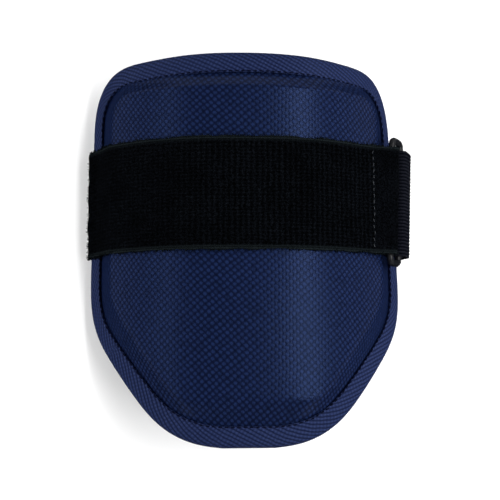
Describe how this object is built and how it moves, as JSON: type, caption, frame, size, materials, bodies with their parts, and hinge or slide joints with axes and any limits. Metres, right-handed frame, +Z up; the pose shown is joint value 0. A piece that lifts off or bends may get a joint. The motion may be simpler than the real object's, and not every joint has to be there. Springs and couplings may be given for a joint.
{
  "type": "batter's elbow guard",
  "caption": "Arched, padded elbow guard with a bound edge, held by a wide strap that runs through a rectangular buckle and closes beneath the arm.",
  "frame": {"origin": "middle of the flat underside of the closed strap, below the crest of the arch and midway across the strap's width", "axes": "+X across the guard towards the buckle, +Y along the forearm towards the guard's wide end, +Z up to the crest"},
  "size_m": [0.1572, 0.1798, 0.0474],
  "materials": {
    "nylon_cover": "navy basket-woven nylon, slight sheen",
    "binding_tape": "navy twill tape, matte",
    "band": "black brushed loop tape, matte",
    "elastic": "black ribbed elastic webbing, matte",
    "buckle": "black moulded plastic, slight gloss"
  },
  "bodies": {
    "root": {"guard_pad": "nylon_cover", "edge_binding": "binding_tape", "front_band": "band", "elastic_webbing": "elastic", "strap_ring": "buckle"}
  },
  "joints": []
}
